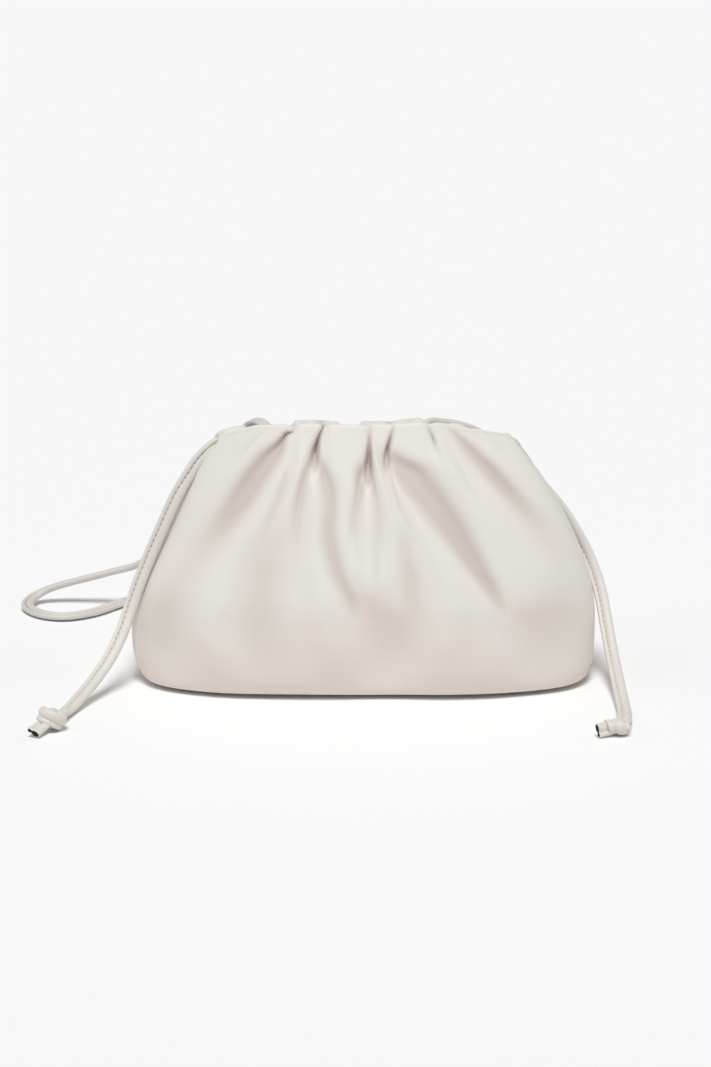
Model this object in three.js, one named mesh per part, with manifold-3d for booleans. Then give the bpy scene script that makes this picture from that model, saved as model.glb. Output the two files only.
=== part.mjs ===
// A small pouch bag in soft pale leather: a hollow body gathered into a narrow mouth with a folded hem,
// a drawstring with a knotted end at each side, and a long stitched shoulder strap lying behind the bag.
// Sizes are in millimetres. The bag stands on z = 0 and its front faces -y.
import * as THREE from "three";
import { ParametricGeometry } from "three/addons/geometries/ParametricGeometry.js";
import { mergeVertices } from "three/addons/utils/BufferGeometryUtils.js";
import Module from "manifold-3d";

const wasm = await Module();
wasm.setup();

// Driving sizes.
const BAG_WIDTH = 240;
const BAG_DEPTH = 102;
const BAG_HEIGHT = 132;
const WALL = 2;
const FRONT_HEM = 3.6;
const BACK_HEM = 8.4;
const END_HEM = 6;
const HEM_HEIGHT = 14;
const MOUTH_GAP = 10.6;
const END_DROP = 6;
const STRAP_DENT = 4.4;
const STRAP_DENTS = [{ at: -55, half: 7.5 }, { at: 38.5, half: 11 }];
const CORD_WIDTH = 7;
const CORD_THICK = 4;
const CORD_ROOM = 0.4;
const SLIT_ROOM = 1.1;
const KNOT_STRAND = 5.2;
const KNOT_CORE = 3.6;
const KNOT_SIZE = 2.1;

// How finely the shapes are cut.
const COLUMNS = 100;
const OUTER_ROWS = 17;
const INNER_ROWS = 9;
const CORD_STEP = 14;
const TAIL_STEP = 8;
const SLIT_STEP = 4;

const RIM_DEPTH = MOUTH_GAP + FRONT_HEM + BACK_HEM;
const RIM_SHARE = RIM_DEPTH / BAG_DEPTH;
const RIM_BACK = (BACK_HEM - FRONT_HEM) / 2;

// Level sections of the body, floor to rim: height, width and depth as shares of the bag's own,
// squareness of the outline, lean to the right and set to the back in millimetres.
const SECTIONS = [
  { height: 0, width: 0.925, depth: 0.925, square: 3.6, lean: 0.2, back: 0 },
  { height: 0.02, width: 0.962, depth: 0.965, square: 3.5, lean: 0.1, back: 0 },
  { height: 0.07, width: 0.988, depth: 0.988, square: 3.2, lean: 0, back: 0 },
  { height: 0.16, width: 1, depth: 0.998, square: 2.9, lean: -0.1, back: 0 },
  { height: 0.27, width: 1, depth: 1, square: 2.6, lean: 0.2, back: 0 },
  { height: 0.41, width: 0.957, depth: 0.965, square: 2.4, lean: 2, back: 0 },
  { height: 0.55, width: 0.888, depth: 0.865, square: 2.3, lean: 3.2, back: 0 },
  { height: 0.68, width: 0.818, depth: 0.71, square: 2.35, lean: 3.2, back: 0.3 },
  { height: 0.8, width: 0.746, depth: 0.53, square: 2.45, lean: 2.2, back: 0.9 },
  { height: 0.905, width: 0.68, depth: 0.345, square: 2.7, lean: 1, back: RIM_BACK * 0.75 },
  { height: 0.985, width: 0.637, depth: RIM_SHARE, square: 3, lean: 0, back: RIM_BACK },
];

// Valleys between the gathers: place across the bag (-1 left side, 1 right side) at the rim, at the bend
// and at the lower end, shares of the height of the bend and the end, depth, and half width at rim and end.
const FRONT_GATHERS = [
  { rim: -0.48, bend: -0.633, end: -0.77, bendAt: 0.82, endAt: 0.58, depth: 4.6, narrow: 4, wide: 12 },
  { rim: -0.277, bend: -0.378, end: -0.45, bendAt: 0.786, endAt: 0.5, depth: 6.2, narrow: 3, wide: 10 },
  { rim: -0.36, bend: -0.19, end: -0.03, bendAt: 0.58, endAt: 0.3, depth: 3.8, narrow: 5, wide: 12 },
  { rim: 0.034, bend: 0.01, end: -0.12, bendAt: 0.85, endAt: 0.6, depth: 6, narrow: 3, wide: 9 },
  { rim: 0.1, bend: 0.4, end: 0.6, bendAt: 0.68, endAt: 0.3, depth: 5.4, narrow: 3.5, wide: 13 },
  { rim: 0.46, bend: 0.45, end: 0.47, bendAt: 0.9, endAt: 0.66, depth: 3, narrow: 3, wide: 7 },
  { rim: 0.6, bend: 0.775, end: 0.9, bendAt: 0.81, endAt: 0.6, depth: 4.4, narrow: 4, wide: 11 },
];
const BACK_GATHERS = [
  { rim: -0.55, bend: -0.66, end: -0.76, bendAt: 0.82, endAt: 0.55, depth: 4.2, narrow: 4, wide: 12 },
  { rim: -0.3, bend: -0.36, end: -0.42, bendAt: 0.8, endAt: 0.42, depth: 5.4, narrow: 4, wide: 12 },
  { rim: -0.06, bend: -0.08, end: -0.12, bendAt: 0.8, endAt: 0.5, depth: 5, narrow: 4, wide: 11 },
  { rim: 0.19, bend: 0.22, end: 0.24, bendAt: 0.8, endAt: 0.38, depth: 5.2, narrow: 4, wide: 12 },
  { rim: 0.44, bend: 0.53, end: 0.62, bendAt: 0.8, endAt: 0.46, depth: 4.8, narrow: 4, wide: 12 },
];

// Routes of the free cords as they lie, each from the hem outwards: x, y, z.
const LEFT_TAIL = [
  [-69.6, 6.1, 120.5], [-78.6, 2.6, 118.8], [-85.9, -2.1, 113.2], [-90.5, -5.2, 105.1], [-96, -8.4, 94.8],
  [-102.3, -11.4, 80.2], [-109, -14, 65.2], [-114.2, -16.8, 52.6], [-118.2, -20.4, 41.8], [-122.6, -28, 29.6],
  [-127.8, -38, 19.4], [-134.9, -50, 10.6], [-141.4, -63, 5.2], [-146, -75, 2.8], [-148.5, -84.6, 3.9],
];
const RIGHT_TAIL = [
  [69.7, 6.1, 120.5], [78.2, 7.7, 118.2], [84.8, 16.2, 111], [91.6, 19.6, 98.4], [101.6, 19, 84.6],
  [110.6, 16.8, 70.4], [118.6, 13, 55.2], [123.4, 5, 41.4], [126, -8, 26.6], [127.9, -24, 14],
  [128.8, -42, 7.6], [129.1, -58, 4.2], [129, -74, 2.8], [128.4, -85, 3], [127.2, -93.1, 4.2],
];
const STRAP = [
  [-50, 0.4, 113], [-50.6, 0.4, 119.5], [-52, 1.9, 125.8], [-55, 9, 130.4], [-58.6, 16, 126.8],
  [-62.6, 21.2, 120], [-70, 31, 107], [-94, 66, 64], [-109, 91, 42], [-125.2, 107, 26.6],
  [-143, 115.5, 19.5], [-177.6, 120.6, 8.5], [-187, 117.6, 5.1], [-191, 108.5, 3.2], [-187.7, 98.5, 2.5],
  [-176.9, 88.1, 2.4], [-165.4, 85.2, 2.4], [-152.2, 91.9, 2.4], [-126, 121, 2.4], [-50, 140, 2.4],
  [10, 140, 2.4], [70, 146, 2.4], [89, 160, 2.4], [82, 175, 2.4], [-40, 176, 2.4],
  [-66, 169.5, 2.4], [-71.5, 158.5, 2.4], [-58, 151.5, 2.4], [-24, 152, 4.4], [22, 140, 7.6],
  [88, 96, 14], [97, 79, 34], [92.5, 63, 60], [81, 40, 92], [69.5, 26, 110.5], [60, 20.2, 119.4],
  [50, 17.8, 124.6], [42, 14.8, 128.2], [36, 8.2, 131.4], [32.2, 0.4, 127.2], [31.2, -0.4, 119.5],
  [31, 0, 113],
];

// The direction of the wide side of each cord, by share of its length; FLAT lies level across its own way.
const FLAT = null;
const LEFT_SIDE = [
  { at: 0, wide: [0, 0, -1] },
  { at: 0.14, wide: [0, 0, -1] },
  { at: 0.3, wide: [1, 0, 0] },
  { at: 1, wide: [1, 0, 0] },
];
const RIGHT_SIDE = [
  { at: 0, wide: [0, 0, 1] },
  { at: 0.1, wide: [0, 0, 1] },
  { at: 0.22, wide: [0.8, -0.6, 0] },
  { at: 0.4, wide: [1, 0, 0] },
  { at: 1, wide: [1, 0, 0] },
];
const HEM_SIDE = [{ at: 0, wide: [0, 0, 1] }, { at: 1, wide: [0, 0, 1] }];
const KNOT_SIDE = [{ at: 0, wide: [0.1, 0.3, 1] }, { at: 1, wide: [0.1, 0.3, 1] }];
const STRAP_SIDE = [
  { at: 0, wide: [1, 0, 0] },
  { at: 0.06, wide: [1, 0, 0] },
  { at: 0.12, wide: FLAT },
  { at: 0.88, wide: FLAT },
  { at: 0.927, wide: [0.15, 0.5, -0.85] },
  { at: 0.944, wide: [0.15, 0.5, -0.85] },
  { at: 0.967, wide: FLAT },
  { at: 0.983, wide: [-1, 0, 0] },
  { at: 1, wide: [-1, 0, 0] },
];
const LEFT_KNOT = { at: [-150.8, -93, 8.4], along: [0.3, 0.95, 0], face: [-0.5, -0.1, 0.85] };
const RIGHT_KNOT = { at: [121.8, -102, 5.4], along: [0.62, 0.78, 0], face: [-0.1, -0.1, 1] };

function blend(a, b, share) {
  return a + (b - a) * share;
}

function ease(from, to, value) {
  return THREE.MathUtils.smoothstep(value, from, to);
}

function power(value, exponent) {
  return Math.sign(value) * Math.abs(value) ** exponent;
}

// The section at any place between the rows of the table, on a smooth curve through them.
function sectionAt(place) {
  const last = SECTIONS.length - 1;
  const row = Math.min(Math.floor(place), last - 1);
  const share = place - row;
  const near = [row - 1, row, row + 1, row + 2].map((i) => SECTIONS[THREE.MathUtils.clamp(i, 0, last)]);
  const smooth = (name) => {
    const [p, a, b, n] = near.map((section) => section[name]);
    const rise = (b - p) / 2;
    const fall = (n - a) / 2;
    const square = share * share;
    const cube = square * share;
    return (2 * cube - 3 * square + 1) * a + (cube - 2 * square + share) * rise
      + (3 * square - 2 * cube) * b + (cube - square) * fall;
  };
  return {
    z: smooth("height") * BAG_HEIGHT,
    a: smooth("width") * BAG_WIDTH / 2,
    b: smooth("depth") * BAG_DEPTH / 2,
    square: smooth("square"),
    lean: smooth("lean"),
    back: smooth("back"),
    level: smooth("height") / SECTIONS[last].height,
  };
}

// How far the leather lies in or out of its plain section at a place across the front or the back.
function gather(across, level, halfWidth, rows) {
  let total = 0;
  for (const row of rows) {
    const run = (level - row.endAt) / (1 - row.endAt);
    if (run <= 0) {
      continue;
    }
    const toBend = (level - row.bendAt) / (1 - row.bendAt);
    const toEnd = (level - row.bendAt) / (row.endAt - row.bendAt);
    const atRim = toBend * (level - row.endAt) / (1 - row.endAt);
    const atEnd = toEnd * (level - 1) / (row.endAt - 1);
    const atBend = 1 - atRim - atEnd;
    const middle = row.rim * atRim + row.bend * atBend + row.end * atEnd;
    const width = blend(row.wide, row.narrow, run);
    const sharp = blend(2, 1.25, ease(0.55, 1, run));
    const strength = ease(0, 0.45, run) * (1 - 0.58 * ease(0.8, 1, run));
    const fade = Math.exp(-(Math.abs((across - middle) * halfWidth / width) ** sharp));
    total += (row.depth * strength * fade) ** 2.5;
  }
  return -(total ** 0.4);
}

// A point of one level outline; the turn runs left end, front, right end, back.
function outlinePoint(angle, course, target) {
  const across = -power(Math.cos(angle), 2 / course.square);
  const front = -power(Math.sin(angle), 2 / course.square);
  const normal = new THREE.Vector2(
    power(across, course.square - 1) / Math.max(course.a, 1e-6),
    power(front, course.square - 1) / Math.max(course.b, 1e-6),
  ).normalize();
  const rows = front < 0 ? FRONT_GATHERS : BACK_GATHERS;
  const facing = Math.min(1, Math.abs(front) * 2.5);
  const depth = course.fold * facing * gather(across, course.level, course.a, rows);
  const x = course.lean + course.a * across;
  const off = Math.min(...STRAP_DENTS.map((dent) => Math.abs(x - dent.at) / dent.half));
  const underStrap = front > 0 ? Math.exp(-(off ** 4)) : 0;
  const drop = (END_DROP * across ** 4 + STRAP_DENT * underStrap) * course.level ** 6;
  return target.set(
    x + normal.x * depth,
    course.back + course.b * front + normal.y * depth,
    course.z - drop * course.dropShare,
  );
}

// The courses of the shell in order: up the outside, over the rim, down the hem and the inside.
function shellCourses() {
  const top = SECTIONS.length - 1;
  const courses = [];
  for (let i = 0; i <= OUTER_ROWS; i += 1) {
    courses.push({ ...sectionAt(top * i / OUTER_ROWS), fold: 1, dropShare: 1 });
  }
  const rim = courses[OUTER_ROWS];
  const slit = { ...rim, a: rim.a - END_HEM, b: MOUTH_GAP / 2, back: 0, square: 4 };
  for (const share of [0.16, 0.5, 0.84, 1]) {
    courses.push({
      ...rim,
      a: blend(rim.a, slit.a, share),
      b: blend(rim.b, slit.b, share),
      back: blend(rim.back, slit.back, share),
      square: blend(rim.square, slit.square, share),
      z: rim.z + (BAG_HEIGHT - rim.z) * Math.sin(Math.PI * share) ** 0.6,
    });
  }
  courses.push({ ...slit, z: rim.z - HEM_HEIGHT + 3, dropShare: 0.85 });
  const room = 1 - (HEM_HEIGHT + 3) / BAG_HEIGHT;
  let place = top;
  while (sectionAt(place).z > room * BAG_HEIGHT) {
    place -= 0.02;
  }
  for (let i = 0; i <= INNER_ROWS; i += 1) {
    const section = sectionAt(place * (1 - i / INNER_ROWS));
    courses.push({
      ...section,
      a: section.a - WALL,
      b: section.b - WALL,
      z: WALL + section.z * (1 - WALL / BAG_HEIGHT),
      fold: 1,
      dropShare: 1,
    });
  }
  const middle = { ...courses[0], a: 0, b: 0, fold: 0, lean: 0 };
  const inside = { ...middle, z: WALL };
  return [middle, ...courses, inside];
}

// Turns round the outline that share its length evenly at the belly.
function evenTurns(count) {
  const belly = { ...sectionAt(5), fold: 0, dropShare: 0 };
  const fine = 2000;
  const walked = [0];
  const before = outlinePoint(0, belly, new THREE.Vector3());
  const here = new THREE.Vector3();
  for (let i = 1; i <= fine; i += 1) {
    outlinePoint(2 * Math.PI * i / fine, belly, here);
    walked.push(walked[i - 1] + here.distanceTo(before));
    before.copy(here);
  }
  const turns = [];
  let i = 0;
  for (let k = 0; k <= count; k += 1) {
    const wanted = walked[fine] * k / count;
    while (i < fine - 1 && walked[i + 1] < wanted) {
      i += 1;
    }
    turns.push(2 * Math.PI * (i + (wanted - walked[i]) / (walked[i + 1] - walked[i])) / fine);
  }
  return turns;
}

function solidOf(geometry) {
  const bare = geometry.clone();
  bare.deleteAttribute("normal");
  bare.deleteAttribute("uv");
  const merged = mergeVertices(bare, 1e-3);
  const corners = [];
  for (let i = 0; i < merged.index.count; i += 3) {
    const [a, b, c] = [0, 1, 2].map((k) => merged.index.getX(i + k));
    if (a !== b && b !== c && c !== a) {
      corners.push(a, b, c);
    }
  }
  const vertProperties = Float32Array.from(merged.attributes.position.array);
  const triVerts = Uint32Array.from(corners);
  return new wasm.Manifold(new wasm.Mesh({ numProp: 3, vertProperties, triVerts }));
}

function geometryOf(solid) {
  const mesh = solid.getMesh();
  const geometry = new THREE.BufferGeometry();
  geometry.setAttribute("position", new THREE.BufferAttribute(Float32Array.from(mesh.vertProperties), 3));
  geometry.setIndex(new THREE.BufferAttribute(Uint32Array.from(mesh.triVerts), 1));
  return geometry;
}

// A path for a flat cord; its wide side follows a few stated directions along the way.
class CordPath extends THREE.CatmullRomCurve3 {
  constructor(points, wide, crowd = 0) {
    super(points.map((p) => (p.isVector3 ? p : new THREE.Vector3(...p))), false, "centripetal");
    this.wide = wide;
    this.crowd = crowd;
    this.arcLengthDivisions = 1200;
  }

  getUtoTmapping(share) {
    return super.getUtoTmapping(share - this.crowd * Math.sin(2 * Math.PI * share) / (2 * Math.PI));
  }

  wideAt(share, tangent) {
    const after = Math.max(1, this.wide.findIndex((row) => row.at >= share));
    const [from, to] = [this.wide[after - 1], this.wide[after]];
    const level = new THREE.Vector3(tangent.y, -tangent.x, 0).normalize();
    const [near, far] = [from, to].map((row) => (row.wide === FLAT ? level : new THREE.Vector3(...row.wide)));
    return near.clone().lerp(far, (share - from.at) / (to.at - from.at));
  }

  computeFrenetFrames(steps) {
    const tangents = [];
    const normals = [];
    const binormals = [];
    for (let i = 0; i <= steps; i += 1) {
      const tangent = this.getTangentAt(i / steps);
      const wide = this.wideAt(i / steps, tangent);
      wide.addScaledVector(tangent, -wide.dot(tangent)).normalize();
      tangents.push(tangent);
      normals.push(new THREE.Vector3().crossVectors(wide, tangent));
      binormals.push(wide);
    }
    return { tangents, normals, binormals };
  }
}

function cordSection(thick, width, corners) {
  const points = [];
  for (let i = 0; i < corners; i += 1) {
    const angle = 2 * Math.PI * (i + 0.5) / corners;
    const across = power(Math.cos(angle), 0.8) * thick / 2;
    points.push(new THREE.Vector2(across, power(Math.sin(angle), 0.8) * width / 2));
  }
  return new THREE.Shape(points);
}

function cord(points, wide, thick, width, step, corners = 8, crowd = 0) {
  const path = new CordPath(points, wide, crowd);
  const steps = Math.max(4, Math.round(path.getLength() / step));
  return new THREE.ExtrudeGeometry(cordSection(thick, width, corners), { extrudePath: path, steps });
}

// The line of an overhand knot, from where the cord comes in to its cut end.
function knotLine(stub) {
  const line = [[2.9, 4.4, 0.1], [2.75, 3.2, 0.45]];
  for (let i = 0; i <= 20; i += 1) {
    const turn = blend(0.42, 2 * Math.PI - 0.42, i / 20);
    const swing = 2 + Math.cos(3 * turn);
    line.push([swing * Math.cos(2 * turn), swing * Math.sin(2 * turn), 1.3 * Math.sin(3 * turn)]);
  }
  line.push([2.75, -3.2, -0.45], [2.9, -4.4 - stub, -0.1]);
  return line.map(([x, y, z]) => new THREE.Vector3(x - 1.4, y, z).multiplyScalar(KNOT_SIZE));
}

function knot(place, stub) {
  const line = knotLine(stub);
  const along = new THREE.Vector3(...place.along).normalize();
  const face = new THREE.Vector3(...place.face);
  face.addScaledVector(along, -face.dot(along)).normalize();
  const side = new THREE.Vector3().crossVectors(along, face);
  const seat = new THREE.Matrix4().makeBasis(side, along, face).setPosition(...place.at);
  const pieces = [solidOf(new THREE.IcosahedronGeometry(KNOT_CORE, 1).translate(-1.4 * KNOT_SIZE, 0, 0))];
  for (let first = 0; first < line.length - 1; first += 6) {
    const stretch = line.slice(first, Math.min(first + 8, line.length));
    if (stretch.length > 1) {
      pieces.push(solidOf(cord(stretch, KNOT_SIDE, KNOT_STRAND, KNOT_STRAND, 2.6, 7)));
    }
  }
  return geometryOf(wasm.Manifold.union(pieces)).applyMatrix4(seat);
}

const turns = evenTurns(COLUMNS);
const courses = shellCourses();
const shell = new ParametricGeometry((u, v, target) => {
  const column = Math.round(u * COLUMNS) % COLUMNS;
  outlinePoint(turns[column], courses[Math.round(v * (courses.length - 1))], target);
}, COLUMNS, courses.length - 1);

// The drawstring inside the back hem follows the middle of the hem.
function hemLine(from, to, count) {
  const rim = courses[OUTER_ROWS + 1];
  const half = {
    ...rim,
    a: rim.a - END_HEM / 2,
    b: (rim.b + MOUTH_GAP / 2) / 2,
    back: rim.back / 2,
    z: rim.z - HEM_HEIGHT / 2 - 0.4,
    square: 3.4,
    dropShare: 0.45,
  };
  const line = [];
  for (let i = 0; i <= count; i += 1) {
    const across = blend(from, to, i / count);
    const angle = 2 * Math.PI - Math.acos(power(-across, half.square / 2));
    line.push(outlinePoint(angle, half, new THREE.Vector3()));
  }
  return line;
}

const hidden = hemLine(-0.93, 0.93, 12);
const roomThick = CORD_THICK + 2 * CORD_ROOM;
const roomWide = CORD_WIDTH + 2 * CORD_ROOM;
const runRoom = cord(hidden, HEM_SIDE, roomThick, roomWide, CORD_STEP);
const leftStart = new CordPath(LEFT_TAIL, LEFT_SIDE).getSpacedPoints(40).slice(0, 6);
const rightStart = new CordPath(RIGHT_TAIL, RIGHT_SIDE).getSpacedPoints(48).slice(0, 7);
const leftLine = [...hidden.slice(0, 2).reverse(), ...leftStart];
const rightLine = [...hidden.slice(-2), ...rightStart];
const leftRoom = cord(leftLine, HEM_SIDE, roomThick + SLIT_ROOM, roomWide + SLIT_ROOM, SLIT_STEP);
const rightRoom = cord(rightLine, HEM_SIDE, roomThick + SLIT_ROOM, roomWide + SLIT_ROOM, SLIT_STEP);
const tunnel = wasm.Manifold.union([solidOf(runRoom), solidOf(leftRoom), solidOf(rightRoom)]);
const body = solidOf(shell).subtract(tunnel);

const leather = new THREE.MeshStandardMaterial({ color: 0xe3ded6, roughness: 0.5 });
const strapLeather = new THREE.MeshStandardMaterial({ color: 0xddd9d0, roughness: 0.5 });

const group = new THREE.Group();
group.name = "pouch_bag";

function add(name, geometry, material) {
  const mesh = new THREE.Mesh(geometry, material);
  mesh.name = name;
  group.add(mesh);
}

add("pouch_body", geometryOf(body), leather);
add("drawstring_run", cord(hidden, HEM_SIDE, CORD_THICK, CORD_WIDTH, CORD_STEP), strapLeather);
add("drawstring_left", cord(LEFT_TAIL, LEFT_SIDE, CORD_THICK, CORD_WIDTH, TAIL_STEP), strapLeather);
add("drawstring_right", cord(RIGHT_TAIL, RIGHT_SIDE, CORD_THICK, CORD_WIDTH, TAIL_STEP), strapLeather);
add("knot_left", knot(LEFT_KNOT, 1.2), strapLeather);
add("knot_right", knot(RIGHT_KNOT, 1.2), strapLeather);
add("shoulder_strap", cord(STRAP, STRAP_SIDE, CORD_THICK, CORD_WIDTH, CORD_STEP, 8, 0.4), strapLeather);

export default group;
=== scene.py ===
import math
from collections import namedtuple

import bpy
import numpy as np
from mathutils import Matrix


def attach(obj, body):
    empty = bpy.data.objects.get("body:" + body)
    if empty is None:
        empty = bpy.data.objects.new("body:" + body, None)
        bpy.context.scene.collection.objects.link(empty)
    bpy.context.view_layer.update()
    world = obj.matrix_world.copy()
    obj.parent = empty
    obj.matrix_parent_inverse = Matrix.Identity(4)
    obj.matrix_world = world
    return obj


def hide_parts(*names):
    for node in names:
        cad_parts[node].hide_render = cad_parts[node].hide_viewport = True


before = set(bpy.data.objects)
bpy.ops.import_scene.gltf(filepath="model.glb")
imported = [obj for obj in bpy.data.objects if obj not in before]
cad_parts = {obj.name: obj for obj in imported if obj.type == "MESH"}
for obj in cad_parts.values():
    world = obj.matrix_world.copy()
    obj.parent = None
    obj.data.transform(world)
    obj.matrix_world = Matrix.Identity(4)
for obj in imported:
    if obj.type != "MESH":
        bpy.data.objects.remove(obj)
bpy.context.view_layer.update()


# The pouch body: soft ivory nappa leather, one shell that the drawstring gathers into a narrow mouth. It is
# turned in at the mouth for a hem, and below that the gathers fan out and die away in a full belly on a flat
# base. Sizes are in millimetres, and the mesh is written in metres.
MM = 0.001
BAG_WIDTH = 240
BAG_DEPTH = 102
BAG_HEIGHT = 132
WALL = 2
FRONT_HEM = 3.6
BACK_HEM = 8.4
END_HEM = 6
HEM_HEIGHT = 14
MOUTH_GAP = 10.6
MOUTH_SQUARE = 4
HEM_TURN = 3
HEM_EASE = 0.15
END_DROP = 6
END_DROP_POWER = 4
RIM_REACH_POWER = 6
STRAP_DENT = 3
STRAP_DENT_POWER = 4
STRAP_DENTS = ((-55, 4.6), (37.5, 6.5))
# How folds that meet add up, and how fast folds and rim waves grow from the ends of the bag to its middle.
FOLD_BLEND = 2.5
FOLD_FADE = 2.5
RIM_FADE = 3
# The depths of fold that begin and complete the painted crease shade, and the upward facings that complete
# and end the painted shade on leather that faces sideways or down.
CREASE_SHADE_FROM = 0.15
CREASE_SHADE_FULL = 2.7
UPRIGHT_SHADE_FULL = 0.02
UPRIGHT_SHADE_NONE = 0.32
# How fine the mesh is: columns round the bag, closer on the front, and rows up the outside and down inside.
COLUMNS = 640
FINE_TURNS = 6000
BELLY_ROW = 8
FRONT_CROWD = 1.6
OUTER_ROWS = 104
BASE_RINGS = 4
CREST_SHARES = (0.05, 0.13, 0.25, 0.4, 0.55, 0.7, 0.84, 0.94, 1)
HEM_ROWS = 6
INNER_ROWS = 26
# The slits for the drawstring: a place at each end of the mouth, where the leather is pulled in.
SLITS = ((-77, 0.4, 121.6), (76, 5, 121.6))
SLIT_DEPTH = 6.5
SLIT_HALF = 3
RIM_DEPTH = MOUTH_GAP + FRONT_HEM + BACK_HEM
RIM_SHARE = RIM_DEPTH / BAG_DEPTH
RIM_BACK = (BACK_HEM - FRONT_HEM) / 2

# Level sections, floor to rim: height, width and depth as shares of the bag's own, squareness of the
# outline, lean to the right and set to the back.
Section = namedtuple("Section", "height width depth square lean back")
SECTIONS = [
    Section(0, 0.77, 0.69, 4.1, 0.8, 0),
    Section(0.01, 0.86, 0.83, 4.1, 0.8, 0),
    Section(0.016, 0.928, 0.922, 4.1, 0.8, 0),
    Section(0.026, 0.955, 0.963, 4, 0.8, 0),
    Section(0.046, 0.973, 0.984, 3.8, 0.8, 0),
    Section(0.08, 0.989, 0.994, 3.55, 0.6, 0),
    Section(0.14, 1, 1, 3.2, 0.1, 0),
    Section(0.26, 1, 1, 2.7, 0.2, 0),
    Section(0.36, 0.975, 0.985, 2.5, 1.3, 0),
    Section(0.46, 0.932, 0.9, 2.35, 2.5, 0),
    Section(0.57, 0.876, 0.77, 2.3, 3.2, 0.1),
    Section(0.69, 0.811, 0.62, 2.35, 3.1, 0.5),
    Section(0.8, 0.746, 0.476, 2.45, 2.2, 1.1),
    Section(0.905, 0.68, 0.33, 2.7, 1, RIM_BACK * 0.75),
    Section(0.985, 0.637, RIM_SHARE, 3, 0, RIM_BACK),
]

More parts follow.
